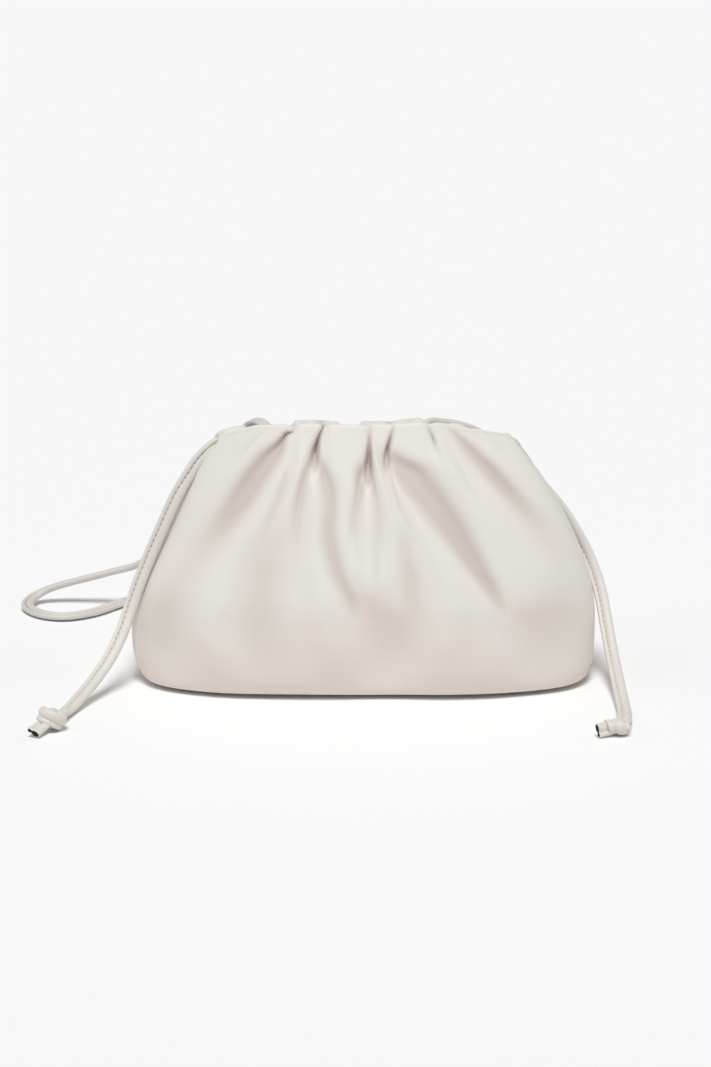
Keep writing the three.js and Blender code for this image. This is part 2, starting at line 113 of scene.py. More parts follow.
# The valleys between the gathers, each from the rim down: level as a share of the rim's height, place across
# the bag (-1 left side, 1 right side), depth, half width, and how flat the bottom of the valley is.
Fold = namedtuple("Fold", "level across depth width flat")
FRONT_FOLDS = {
    "left shoulder": [
        Fold(1, -0.46, 1.2, 1, 1.1),
        Fold(0.98, -0.5, 4, 1.1, 1.1),
        Fold(0.955, -0.525, 4.4, 1.8, 1.2),
        Fold(0.9, -0.58, 3.6, 6, 1.8),
        Fold(0.83, -0.64, 3.5, 7.5, 2),
        Fold(0.76, -0.68, 3.2, 8.5, 2),
        Fold(0.69, -0.715, 2.5, 9.5, 2),
        Fold(0.61, -0.755, 1.7, 11, 2),
        Fold(0.53, -0.795, 1.2, 13, 2),
        Fold(0.45, -0.84, 1.1, 14, 2),
        Fold(0.37, -0.86, 1.4, 16, 2),
        Fold(0.29, -0.86, 1.5, 18, 2),
        Fold(0.2, -0.85, 1.3, 20, 2),
        Fold(0.12, -0.84, 0.7, 22, 2),
        Fold(0.04, -0.84, 0, 22, 2),
    ],
    "left hollow": [
        Fold(0.74, -0.46, 0, 7, 2),
        Fold(0.65, -0.47, 0.8, 10, 2),
        Fold(0.56, -0.475, 1.25, 13, 2),
        Fold(0.47, -0.47, 1.5, 15, 2),
        Fold(0.38, -0.455, 1.5, 16, 2),
        Fold(0.3, -0.44, 1.3, 17, 2),
        Fold(0.22, -0.42, 1.05, 18, 2),
        Fold(0.14, -0.4, 0.6, 19, 2),
        Fold(0.07, -0.4, 0, 20, 2),
    ],
    "left shoulder wrinkle": [
        Fold(0.995, -0.64, 0.2, 1.6, 1.4),
        Fold(0.94, -0.72, 0.6, 2, 1.6),
        Fold(0.885, -0.777, 0.4, 3, 2),
        Fold(0.83, -0.82, 0, 4, 2),
    ],
    "left pleat": [
        Fold(0.95, -0.44, 0, 2, 2),
        Fold(0.9, -0.455, 0.6, 2.4, 2),
        Fold(0.77, -0.47, 1.1, 2.8, 2),
        Fold(0.67, -0.5, 1, 3.4, 2),
        Fold(0.6, -0.51, 0.5, 4, 2),
        Fold(0.5, -0.52, 0, 5, 2),
    ],
    "left crease": [
        Fold(1, -0.27, 1.8, 0.9, 1.1),
        Fold(0.96, -0.295, 5.4, 1, 1.1),
        Fold(0.92, -0.31, 7.4, 1.4, 1.1),
        Fold(0.89, -0.313, 6.2, 2, 1.3),
        Fold(0.86, -0.31, 2.6, 3, 1.7),
        Fold(0.82, -0.305, 0, 4, 2),
    ],
    "left crease left branch": [
        Fold(0.92, -0.315, 0, 2, 1.6),
        Fold(0.87, -0.335, 2.2, 2.2, 1.7),
        Fold(0.82, -0.36, 2.1, 2.3, 1.8),
        Fold(0.75, -0.37, 1.8, 3.4, 2),
        Fold(0.67, -0.37, 1.5, 4.2, 2),
        Fold(0.58, -0.36, 1.1, 5, 2),
        Fold(0.48, -0.35, 0.5, 6, 2),
        Fold(0.4, -0.35, 0, 7, 2),
    ],
    "left crease right branch": [
        Fold(0.92, -0.3, 0, 2, 1.6),
        Fold(0.86, -0.26, 2.1, 3.6, 1.9),
        Fold(0.8, -0.22, 2.2, 4.2, 2),
        Fold(0.71, -0.2, 2, 4.2, 2),
        Fold(0.64, -0.2, 2, 4.4, 2),
        Fold(0.56, -0.175, 2.1, 4.8, 2),
        Fold(0.48, -0.135, 2.1, 4.8, 1.9),
        Fold(0.39, -0.07, 1.9, 4.2, 1.9),
        Fold(0.33, -0.045, 0.9, 4.2, 2),
        Fold(0.28, -0.03, 0, 5, 2),
    ],
    "middle crease": [
        Fold(1, 0.04, 1.2, 0.8, 1.1),
        Fold(0.95, 0.03, 3.6, 0.8, 1.1),
        Fold(0.9, 0.018, 7, 1.2, 1.1),
        Fold(0.855, 0.008, 8.2, 1.7, 1.2),
        Fold(0.82, 0.002, 4, 2.4, 1.5),
        Fold(0.78, 0, 0, 3, 2),
    ],
    "middle crease left branch": [
        Fold(0.9, 0, 0, 2.4, 1.7),
        Fold(0.85, -0.025, 2.8, 3.2, 1.8),
        Fold(0.78, -0.05, 2.2, 2.8, 2),
        Fold(0.71, -0.07, 1.7, 2.8, 2),
        Fold(0.64, -0.08, 1.3, 2.8, 2),
        Fold(0.57, -0.075, 0.6, 3, 2),
        Fold(0.5, -0.07, 0, 3, 2),
    ],
    "middle crease right branch": [
        Fold(0.88, 0.015, 0, 1.6, 1.6),
        Fold(0.83, 0.022, 2.2, 1.6, 1.7),
        Fold(0.75, 0.04, 1.6, 1.6, 1.8),
        Fold(0.67, 0.05, 1.3, 1.9, 2),
        Fold(0.58, 0.052, 0.9, 2.4, 2),
        Fold(0.5, 0.05, 0.4, 3, 2),
        Fold(0.42, 0.05, 0, 3, 2),
    ],
    "right crease": [
        Fold(1, 0.2, 1, 0.8, 1.1),
        Fold(0.96, 0.165, 3.6, 0.8, 1.1),
        Fold(0.92, 0.137, 6.4, 1, 1.1),
        Fold(0.89, 0.125, 6.4, 1.3, 1.2),
        Fold(0.86, 0.122, 2.6, 2.2, 1.6),
        Fold(0.82, 0.12, 0, 3, 2),
    ],
    "long right gather": [
        Fold(0.94, 0.12, 0, 5, 1.8),
        Fold(0.89, 0.17, 2.5, 7, 2),
        Fold(0.86, 0.23, 3.2, 9.5, 2.1),
        Fold(0.81, 0.285, 3.2, 10.5, 2),
        Fold(0.75, 0.335, 3.2, 10.5, 2),
        Fold(0.7, 0.375, 3.1, 10, 2),
        Fold(0.65, 0.41, 3.1, 9.4, 2),
        Fold(0.6, 0.44, 3, 8.4, 2),
        Fold(0.54, 0.475, 2.9, 7.4, 2),
        Fold(0.49, 0.505, 2.7, 6.4, 2),
        Fold(0.43, 0.54, 2.4, 5.4, 2),
        Fold(0.37, 0.57, 1.6, 4.6, 2),
        Fold(0.29, 0.6, 0, 5, 2),
    ],
    "right ridge line": [
        Fold(0.88, 0.12, 0, 0.9, 1.6),
        Fold(0.85, 0.13, 1.2, 0.9, 1.6),
        Fold(0.78, 0.14, 1.1, 1, 1.7),
        Fold(0.71, 0.16, 0.9, 1.3, 1.8),
        Fold(0.66, 0.19, 0.6, 1.8, 2),
        Fold(0.6, 0.22, 0.2, 2.4, 2),
        Fold(0.55, 0.24, 0, 3, 2),
    ],
    "low right hollow": [
        Fold(0.7, 0.165, 0, 3, 2),
        Fold(0.63, 0.17, 0.9, 3.8, 2),
        Fold(0.56, 0.175, 1.3, 5, 2),
        Fold(0.47, 0.19, 1.6, 6.6, 2),
        Fold(0.39, 0.2, 1.4, 8, 2),
        Fold(0.31, 0.21, 0.7, 9, 2),
        Fold(0.24, 0.22, 0, 9, 2),
    ],
    "middle bay": [
        Fold(0.46, 0.06, 0, 6, 2),
        Fold(0.4, 0.08, 0.6, 9, 2),
        Fold(0.33, 0.11, 1, 13, 2),
        Fold(0.25, 0.13, 1, 17, 2),
        Fold(0.17, 0.13, 0.8, 21, 2),
        Fold(0.1, 0.12, 0.4, 25, 2),
        Fold(0.04, 0.12, 0, 26, 2),
    ],
    "right bay": [
        Fold(0.52, 0.88, 0, 10, 2),
        Fold(0.44, 0.87, 0.6, 14, 2),
        Fold(0.36, 0.84, 1, 19, 2),
        Fold(0.28, 0.81, 1.1, 23, 2),
        Fold(0.2, 0.79, 1, 26, 2),
        Fold(0.12, 0.78, 0.7, 27, 2),
        Fold(0.04, 0.8, 0, 26, 2),
    ],
    "short crease": [
        Fold(1, 0.43, 1, 0.7, 1.1),
        Fold(0.96, 0.44, 2.8, 0.7, 1.1),
        Fold(0.92, 0.44, 1, 1.2, 1.5),
        Fold(0.86, 0.445, 0, 2, 2),
    ],
    "right pleat": [
        Fold(0.98, 0.53, 0, 1.5, 2),
        Fold(0.88, 0.54, 0.8, 2, 2),
        Fold(0.79, 0.555, 0.8, 2.4, 2),
        Fold(0.73, 0.58, 0.4, 3, 2),
        Fold(0.65, 0.6, 0, 4, 2),
    ],
    "right shoulder": [
        Fold(1, 0.56, 0.8, 3, 1.7),
        Fold(0.96, 0.62, 1.8, 4.4, 1.8),
        Fold(0.9, 0.68, 2.4, 5.4, 2),
        Fold(0.84, 0.725, 2.6, 6, 2),
        Fold(0.77, 0.77, 2.4, 6.6, 2),
        Fold(0.71, 0.805, 1.9, 7.4, 2),
        Fold(0.64, 0.84, 1.3, 9, 2),
        Fold(0.56, 0.87, 0.9, 10, 2),
        Fold(0.48, 0.89, 0.5, 11, 2),
        Fold(0.41, 0.9, 0, 11, 2),
    ],
    "right shoulder wrinkle": [
        Fold(0.995, 0.81, 0.2, 1.5, 1.6),
        Fold(0.94, 0.84, 0.6, 2.5, 1.8),
        Fold(0.9, 0.86, 0.4, 3, 2),
        Fold(0.85, 0.87, 0, 4, 2),
    ],
}

# The ridges between the valleys, which swell out of the belly and end in a soft nose. Depth is their rise.
FRONT_RIDGES = {
    "left": [
        Fold(0.95, -0.41, 0, 4, 2),
        Fold(0.86, -0.47, 0.9, 4.5, 2),
        Fold(0.76, -0.54, 1.3, 5.5, 2),
        Fold(0.66, -0.58, 1.6, 7, 2),
        Fold(0.57, -0.62, 1.8, 8.5, 2),
        Fold(0.47, -0.645, 2.1, 9.5, 2),
        Fold(0.41, -0.645, 2.6, 10.5, 2),
        Fold(0.35, -0.64, 3.4, 11.5, 2),
        Fold(0.29, -0.635, 4.4, 12.5, 2),
        Fold(0.24, -0.625, 5, 13.5, 2),
        Fold(0.19, -0.615, 5.1, 15, 2),
        Fold(0.14, -0.605, 4.5, 17, 2),
        Fold(0.09, -0.59, 3.5, 20, 2),
        Fold(0.04, -0.58, 2.4, 23, 2),
        Fold(0, -0.57, 1.7, 25, 2),
    ],
    "left pair": [
        Fold(0.97, -0.36, 0, 3, 2),
        Fold(0.87, -0.39, 0.8, 3, 2),
        Fold(0.76, -0.42, 0.9, 3.2, 2),
        Fold(0.67, -0.42, 0.6, 3.6, 2),
        Fold(0.58, -0.42, 0, 4, 2),
    ],
    "left lobe": [
        Fold(0.48, -0.4, 0, 20, 2),
        Fold(0.42, -0.4, 0.7, 24, 2),
        Fold(0.36, -0.39, 1.8, 26, 2),
        Fold(0.3, -0.38, 3, 28, 2),
        Fold(0.25, -0.37, 3.9, 30, 2),
        Fold(0.2, -0.36, 4.4, 32, 2),
        Fold(0.15, -0.35, 4.7, 34, 2),
        Fold(0.1, -0.34, 4.6, 36, 2),
        Fold(0.05, -0.32, 3.6, 38, 2),
        Fold(0, -0.3, 1.6, 40, 2),
    ],
    "left of the middle": [
        Fold(0.83, -0.31, 0, 2.5, 2),
        Fold(0.75, -0.29, 0.8, 3.4, 2),
        Fold(0.64, -0.27, 1.2, 4.8, 2),
        Fold(0.56, -0.26, 1.4, 6, 2),
        Fold(0.47, -0.225, 1.8, 7.5, 2),
        Fold(0.4, -0.195, 2.5, 8.6, 2),
        Fold(0.34, -0.17, 3.4, 10, 2),
        Fold(0.28, -0.15, 4.6, 11.5, 2),
        Fold(0.23, -0.135, 5.4, 13, 2),
        Fold(0.18, -0.125, 5.6, 14.5, 2),
        Fold(0.13, -0.12, 4.9, 17, 2),
        Fold(0.085, -0.11, 3.8, 20, 2),
        Fold(0.04, -0.1, 2.7, 24, 2),
        Fold(0, -0.1, 1.8, 26, 2),
    ],
    "middle": [
        Fold(0.82, 0, 0, 1.8, 2),
        Fold(0.73, -0.01, 1, 3, 2),
        Fold(0.64, -0.01, 1.4, 4, 2),
        Fold(0.54, -0.01, 2, 5.2, 2),
        Fold(0.47, 0, 2.8, 6, 2),
        Fold(0.43, 0.01, 2.8, 6.2, 2),
        Fold(0.38, 0.03, 1.3, 6.5, 2),
        Fold(0.33, 0.04, 0, 6.5, 2),
    ],
    "low middle": [
        Fold(0.15, 0.06, 0, 20, 2),
        Fold(0.1, 0.06, 0.7, 26, 2),
        Fold(0.05, 0.06, 1.8, 29, 2),
        Fold(0, 0.06, 2.4, 32, 2),
    ],
    "thin middle": [
        Fold(1, 0.06, 0.3, 1.4, 2),
        Fold(0.89, 0.06, 1, 1.6, 2),
        Fold(0.82, 0.08, 1.2, 1.8, 2),
        Fold(0.73, 0.1, 1.2, 2.2, 2),
        Fold(0.64, 0.12, 0.9, 2.6, 2),
        Fold(0.54, 0.12, 0.3, 3, 2),
        Fold(0.47, 0.12, 0, 3, 2),
    ],
    "right of the middle": [
        Fold(0.86, 0.15, 0, 1.6, 2),
        Fold(0.8, 0.17, 1, 2.4, 2),
        Fold(0.7, 0.24, 1.4, 4.4, 2),
        Fold(0.61, 0.29, 1.6, 6.4, 2),
        Fold(0.53, 0.33, 1.8, 8, 2),
        Fold(0.46, 0.365, 2.1, 9.5, 2),
        Fold(0.4, 0.38, 2.8, 10.5, 2),
        Fold(0.34, 0.375, 3.7, 11.5, 2),
        Fold(0.28, 0.365, 4.8, 12.5, 2),
        Fold(0.23, 0.355, 5.5, 13.5, 2),
        Fold(0.18, 0.35, 5.5, 15, 2),
        Fold(0.13, 0.345, 4.7, 17, 2),
        Fold(0.085, 0.34, 3.7, 20, 2),
        Fold(0.04, 0.34, 2.6, 24, 2),
        Fold(0, 0.34, 1.8, 26, 2),
    ],
    "right lobe": [
        Fold(0.48, 0.4, 0, 16, 2),
        Fold(0.42, 0.4, 0.7, 18, 2),
        Fold(0.36, 0.41, 1.8, 20, 2),
        Fold(0.3, 0.42, 3, 21, 2),
        Fold(0.25, 0.42, 3.9, 22, 2),
        Fold(0.2, 0.42, 4.4, 24, 2),
        Fold(0.15, 0.41, 4.7, 28, 2),
        Fold(0.1, 0.39, 4.6, 32, 2),
        Fold(0.05, 0.36, 3.6, 36, 2),
        Fold(0, 0.34, 1.6, 40, 2),
    ],
    "low right": [
        Fold(0.42, 0.46, 0, 7, 2),
        Fold(0.35, 0.48, 1.2, 8, 2),
        Fold(0.28, 0.5, 2.6, 9.5, 2),
        Fold(0.22, 0.52, 3.8, 11, 2),
        Fold(0.17, 0.53, 4.4, 13, 2),
        Fold(0.12, 0.53, 4.2, 16, 2),
        Fold(0.07, 0.53, 3.2, 19, 2),
        Fold(0.03, 0.52, 2.2, 22, 2),
        Fold(0, 0.52, 1.6, 24, 2),
    ],
    "right": [
        Fold(0.97, 0.5, 0.3, 5, 2),
        Fold(0.86, 0.53, 0.8, 7, 2),
        Fold(0.76, 0.58, 1, 8, 2),
        Fold(0.65, 0.63, 1.2, 10, 2),
        Fold(0.55, 0.67, 1.4, 12, 2),
        Fold(0.47, 0.7, 1.8, 13, 2),
        Fold(0.41, 0.71, 1.9, 13, 2),
        Fold(0.34, 0.72, 1.2, 13, 2),
        Fold(0.26, 0.73, 0.4, 13, 2),
        Fold(0.2, 0.73, 0, 13, 2),
    ],
    "right end": [
        Fold(0.975, 0.78, 0, 6, 2),
        Fold(0.9, 0.83, 0.7, 8, 2),
        Fold(0.82, 0.88, 1, 9, 2),
        Fold(0.7, 0.9, 1.2, 10, 2),
        Fold(0.59, 0.9, 1.2, 12, 2),
        Fold(0.5, 0.88, 0.6, 12, 2),
        Fold(0.43, 0.86, 0, 12, 2),
    ],
}


def plain_fold(rim, middle, end, reach, depth):
    """A gather of the unseen back: nearly straight, from the rim down to its reach."""
    return [
        Fold(1, rim, depth * 0.5, 2.4, 1.1),
        Fold(0.92, rim * 0.6 + middle * 0.4, depth, 3.4, 1.3),
        Fold(0.8, middle, depth, 6, 1.6),
        Fold((0.8 + reach) / 2, (middle + end) / 2, depth * 0.6, 9, 2),
        Fold(reach, end, 0, 12, 2),
    ]


BACK_FOLDS = {
    "left end": plain_fold(-0.55, -0.66, -0.76, 0.5, 4.2),
    "left pair": plain_fold(-0.42, -0.47, -0.52, 0.62, 2.6),
    "left": plain_fold(-0.3, -0.36, -0.42, 0.36, 5.2),
    "middle": plain_fold(-0.06, -0.08, -0.12, 0.46, 5),
    "middle pair": plain_fold(0.07, 0.09, 0.1, 0.64, 2.4),
    "right": plain_fold(0.19, 0.22, 0.24, 0.34, 5.2),
    "right pair": plain_fold(0.34, 0.38, 0.41, 0.6, 2.8),
    "right end": plain_fold(0.46, 0.55, 0.64, 0.42, 4.8),
}

# How the rim rises and falls along its length: place across in millimetres, and height.
Wave = namedtuple("Wave", "x rise")
FRONT_RIM = [
    Wave(-72, -0.6), Wave(-62, 0.8), Wave(-54, 1.5), Wave(-47, 0.9), Wave(-40, 1), Wave(-36, -0.6),
    Wave(-32, 0.7), Wave(-22, 0.6), Wave(-19.5, -0.8), Wave(-16, 0.3), Wave(-4, 0.1), Wave(2.4, -0.7),
    Wave(6, 0.6), Wave(14, 0.2), Wave(17, 0.8), Wave(30, 1.4), Wave(33.5, 0.8), Wave(37, 1.6), Wave(45, 1),
    Wave(54, -0.2), Wave(70, 0),
]
BACK_RIM = [
    Wave(-70, 0), Wave(-47, -2.4), Wave(-37, -3.4), Wave(-34.5, -1), Wave(-24, -0.8), Wave(-13.5, -1.9),
    Wave(-11.5, -4), Wave(-2.5, -4), Wave(-0.5, -1.7), Wave(15, -1.6), Wave(24, -0.2), Wave(29, 0.3),
    Wave(35, -0.3), Wave(49, -1.8), Wave(57, -4), Wave(63, -4.6), Wave(72, -2),
]


def signed_power(value, exponent):
    return np.sign(value) * np.abs(value) ** exponent


def ease(start, end, value):
    share = np.clip((value - start) / (end - start), 0, 1)
    return share * share * (3 - 2 * share)


def hermite(share, here, after, rise, fall):
    square, cube = share**2, share**3
    return ((2 * cube - 3 * square + 1) * here + (cube - 2 * square + share) * rise
            + (3 * square - 2 * cube) * after + (cube - square) * fall)


def sections_at(place):
    """The level sections at places counted in rows of the table, on a smooth curve through them."""
    table = np.array(SECTIONS)
    last = len(table) - 1
    row = np.clip(np.floor(place).astype(int), 0, last - 1)
    before, here, after, beyond = (table[np.clip(row + k, 0, last)] for k in (-1, 0, 1, 2))
    found = hermite((place - row)[:, None], here, after, (after - before) / 2, (beyond - here) / 2)
    return Section(*found.T)


def fold_at(stations, level):
    """One fold's place, depth and width at each level, on a smooth curve through its stations."""
    table = np.array(stations[::-1])
    at, values = table[:, 0], table[:, 1:]
    gap = np.diff(at)[:, None]
    slope = np.diff(values, axis=0) / gap
    inner = (slope[1:] * gap[:-1] + slope[:-1] * gap[1:]) / (gap[1:] + gap[:-1])
    slopes = np.vstack([slope[:1], inner, slope[-1:]])
    level = np.clip(level, at[0], at[-1])
    row = np.clip(np.searchsorted(at, level, side="right") - 1, 0, len(at) - 2)
    step = gap[row]
    share = (level - at[row])[:, None] / step
    found = hermite(share, values[row], values[row + 1], slopes[row] * step, slopes[row + 1] * step)
    return Fold(level, *found.T)


def gathered(across, level, half_width, folds):
    """How far the leather lies from its plain section, from all the folds or ridges of one side."""
    total = np.zeros_like(across)
    for stations in folds.values():
        fold = fold_at(stations, level)
        depth = np.clip(fold.depth, 0, None) * (level >= stations[-1].level)
        off = np.abs((across - fold.across[:, None]) * (half_width / fold.width)[:, None])
        total += (depth[:, None] * np.exp(-(off ** fold.flat[:, None]))) ** FOLD_BLEND
    return total ** (1 / FOLD_BLEND)


def waved(x, waves):
    """The rise of the rim at each place, eased from one wave to the next."""
    at, rise = np.array(waves).T
    row = np.clip(np.searchsorted(at, x) - 1, 0, len(at) - 2)
    share = ease(at[row], at[row + 1], x)
    return rise[row] + (rise[row + 1] - rise[row]) * share


# A course is one level turn round the shell: its section, how much of the folds it takes, and how it drops.
Course = namedtuple("Course", "z half_width half_depth square lean back level fold drop")


def courses_of(place, fold=1.0, drop=1.0, inset=0.0):
    found = sections_at(place)
    z = found.height * BAG_HEIGHT
    return Course(
        z if not inset else inset + z * (1 - inset / BAG_HEIGHT),
        found.width * BAG_WIDTH / 2 - inset,
        found.depth * BAG_DEPTH / 2 - inset,
        found.square,
        found.lean,
        found.back,
        found.height / SECTIONS[-1].height,
        np.full_like(place, fold),
        np.full_like(place, drop),
    )


def shell_points(turns, course):
    """The points of several courses, as rows, columns and x, y, z, and how far each is sunk into a fold."""
    column = [np.asarray(value)[:, None] for value in course]
    z, half_width, half_depth, square, lean, back, level, fold, drop = column
    across = -signed_power(np.cos(turns)[None, :], 2 / square)
    front = -signed_power(np.sin(turns)[None, :], 2 / square)
    normal_x = signed_power(across, square - 1) / half_width
    normal_y = signed_power(front, square - 1) / half_depth
    size = np.hypot(normal_x, normal_y)
    facing = np.clip(np.abs(front) * FOLD_FADE, 0, 1)
    levels = level[:, 0]
    halves = half_width[:, 0]
    valley = np.where(
        front < 0,
        gathered(across, levels, halves, FRONT_FOLDS),
        gathered(across, levels, halves, BACK_FOLDS),
    )
    ridge = np.where(front < 0, gathered(across, levels, halves, FRONT_RIDGES), 0)
    out = fold * facing * (ridge - valley)
    x = lean + half_width * across
    off = np.min([np.abs(x - place) / half for place, half in STRAP_DENTS], axis=0)
    dent = np.where(front > 0, np.exp(-(off**STRAP_DENT_POWER)), 0)
    wave = np.where(front > 0, waved(x, BACK_RIM), waved(x, FRONT_RIM))
    wave = wave * np.clip(np.abs(front) * RIM_FADE, 0, 1)
    fall = END_DROP * across**END_DROP_POWER + STRAP_DENT * dent - wave
    points = np.stack(
        [
            x + normal_x / size * out,
            back + half_depth * front + normal_y / size * out,
            z - fall * level**RIM_REACH_POWER * drop,
        ],
        axis=-1,
    )
    for slit in SLITS:
        pull = SLIT_DEPTH * np.exp(-((points - slit) ** 2).sum(axis=-1) / SLIT_HALF**2)
        points[..., 0] -= normal_x / size * pull
        points[..., 1] -= normal_y / size * pull
    return points, np.clip(fold * facing * valley, 0, None)


def even_turns():
    """Turns round the outline that share its length at the belly, closer together on the front."""
    fine = np.linspace(0, 2 * math.pi, FINE_TURNS + 1)
    belly = courses_of(np.array([float(BELLY_ROW)]), fold=0, drop=0)
    line = shell_points(fine, belly)[0][0]
    gaps = np.linalg.norm(np.diff(line, axis=0), axis=1)
    gaps *= np.where(line[:-1, 1] < 0, FRONT_CROWD, 1)
    walked = np.concatenate([[0], np.cumsum(gaps)])
    return np.interp(np.linspace(0, walked[-1], COLUMNS + 1)[:-1], walked, fine)


def stacked(*courses):
    return Course(*(np.concatenate(values) for values in zip(*courses)))


def rim_courses(rim):
    """Over the rim and down the inner face of the hem."""
    share = np.array(CREST_SHARES)
    slit = rim._replace(
        half_width=rim.half_width - END_HEM,
        half_depth=np.array([MOUTH_GAP / 2]),
        back=np.zeros(1),
        square=np.array([float(MOUTH_SQUARE)]),
    )
    crest = Course(*(start + (end - start) * share for start, end in zip(rim, slit)))
    crest = crest._replace(z=rim.z + (BAG_HEIGHT - rim.z) * np.sin(math.pi * share))
    down = np.linspace(0, 1, HEM_ROWS + 1)[1:]
    hem = Course(*(value + 0 * down for value in slit))
    hem = hem._replace(z=rim.z - down * (HEM_HEIGHT - HEM_TURN), drop=1 - HEM_EASE * down)
    return stacked(crest, hem)


def shell_courses():
    top = len(SECTIONS) - 1
    outer = courses_of(np.linspace(0, top, OUTER_ROWS + 1))
    rim = Course(*(value[-1:] for value in outer))
    below_hem = 1 - (HEM_HEIGHT + HEM_TURN) / BAG_HEIGHT
    inner_top = np.interp(below_hem, [section.height for section in SECTIONS], range(top + 1))
    inner = courses_of(np.linspace(inner_top, 0, INNER_ROWS + 1), inset=WALL)
    return stacked(outer, rim_courses(rim), inner)


def closed_shell(rows, first_pole, last_pole):
    """A mesh of ring rows closed by a point at each end: vertices, four-sided faces and fans."""
    count, columns = rows.shape[:2]
    vertices = np.vstack([rows.reshape(-1, 3), first_pole, last_pole])
    row, column = np.meshgrid(np.arange(count - 1), np.arange(columns), indexing="ij")
    after = (column + 1) % columns
    corners = [row * columns + column, row * columns + after,
               (row + 1) * columns + after, (row + 1) * columns + column]
    faces = np.stack(corners, axis=-1).reshape(-1, 4).tolist()
    pairs = [(k, (k + 1) % columns) for k in range(columns)]
    bottom, top = count * columns, count * columns + 1
    last = (count - 1) * columns
    faces += [[bottom, second, first] for first, second in pairs]
    faces += [[last + first, last + second, top] for first, second in pairs]
    return vertices, faces


def mesh_object(name, vertices, faces, attributes=None):
    """A smooth mesh object at the origin, from places in millimetres."""
    mesh = bpy.data.meshes.new(name)
    mesh.from_pydata((np.asarray(vertices) * MM).tolist(), [], faces)
    mesh.polygons.foreach_set("use_smooth", np.ones(len(mesh.polygons), bool))
    for title, values in (attributes or {}).items():
        mesh.attributes.new(title, "FLOAT", "POINT").data.foreach_set("value", values.astype(np.float32))
    mesh.update()
    made = bpy.data.objects.new(name, mesh)
    bpy.context.scene.collection.objects.link(made)
    return made


turns = even_turns()
shell, sunk = shell_points(turns, shell_courses())
base_middle = shell[0].mean(axis=0)
base_shares = np.linspace(0, 1, BASE_RINGS + 1)[1:-1, None, None]
base = base_middle + (shell[:1] - base_middle) * base_shares
floor_middle = shell[-1].mean(axis=0)
floor = floor_middle + (shell[-1:] - floor_middle) * base_shares[::-1]
shell = np.concatenate([base, shell, floor])
sunk = np.concatenate([np.zeros(base.shape[:2]), sunk, np.zeros(floor.shape[:2])])
# The pouch carries its painted crease shade as a share at each vertex, larger where the leather is sunk in a
# fold.
pouch = mesh_object(
    "pouch",
    *closed_shell(shell, base_middle, floor_middle),
    attributes={"painted_crease_shade": ease(CREASE_SHADE_FROM, CREASE_SHADE_FULL, np.append(sunk.ravel(), [0, 0]))},
)
# Painted shade: where the leather faces sideways or down, away from the light above, it takes a darker, rosier
# tone.
upward = np.array([normal.vector.z for normal in pouch.data.vertex_normals])
painted_upright_shade = pouch.data.attributes.new("painted_upright_shade", "FLOAT", "POINT")
painted_upright_shade.data.foreach_set("value", (1 - ease(UPRIGHT_SHADE_FULL, UPRIGHT_SHADE_NONE, upward)).astype(np.float32))


def linear(colour):
    """An sRGB hex colour as linear red, green, blue and alpha."""
    parts = [int(colour[i:i + 2], 16) / 255 for i in (1, 3, 5)]
    return [c / 12.92 if c <= 0.04045 else ((c + 0.055) / 1.055) ** 2.4 for c in parts] + [1]


def add(tree, kind, inputs=None, **settings):
    """A node with its settings; an input is a value, or an output socket to link."""
    made = tree.nodes.new(kind)
    for name, value in settings.items():
        setattr(made, name, value)
    for name, value in (inputs or {}).items():
        if isinstance(value, bpy.types.NodeSocket):
            tree.links.new(value, made.inputs[name])
        else:
            made.inputs[name].default_value = value
    return made


# A Mix node has a pair of inputs and an output for each kind of value; these are its places for colours.
COLOUR_A = 6
COLOUR_B = 7
MIXED = 2

# Nappa leather: full-grain hide, drum dyed and finished with a thin soft coat. It gives a broad, low sheen
# and a grain almost too fine to see. Painted shade is mixed into its colour: a warmer, darker tone where the
# hide faces sideways or down, away from the light above, and a darker one where it is pinched in a crease.
# The cords are cut from the same hide and are coloured a shade darker, and the strap darker still: painted
# shade for the shade they lie in.
NAPPA_LIGHT = "#e4e2da"
# Painted shade: the cords and the strap take darker colours than the pouch, for the shade they lie in.
CORD_SHADED_TONE = "#d8d4cc"
STRAP_SHADED_TONE = "#c6c2ba"
NAPPA_MOTTLE = "#e1dcd6"
# Painted shade tones: the first for leather that faces sideways or down, the second for the creases.
NAPPA_UPRIGHT_SHADE = "#e5dad2"
NAPPA_CREASE_SHADE = "#cdc2bb"
NAPPA_IOR = 1.5
NAPPA_ROUGHNESS = 0.5
ROUGHNESS_SPREAD = 0.05
# The sizes of the grain's cells, of the pores and of the slow mottle. The grain is drawn about twice as coarse
# as on the hide, because it wouldn't show otherwise.
GRAIN = 0.9
GRAIN_STRENGTH = 0.12
GRAIN_DEPTH = 0.08
PORE = 0.35
MOTTLE = 55


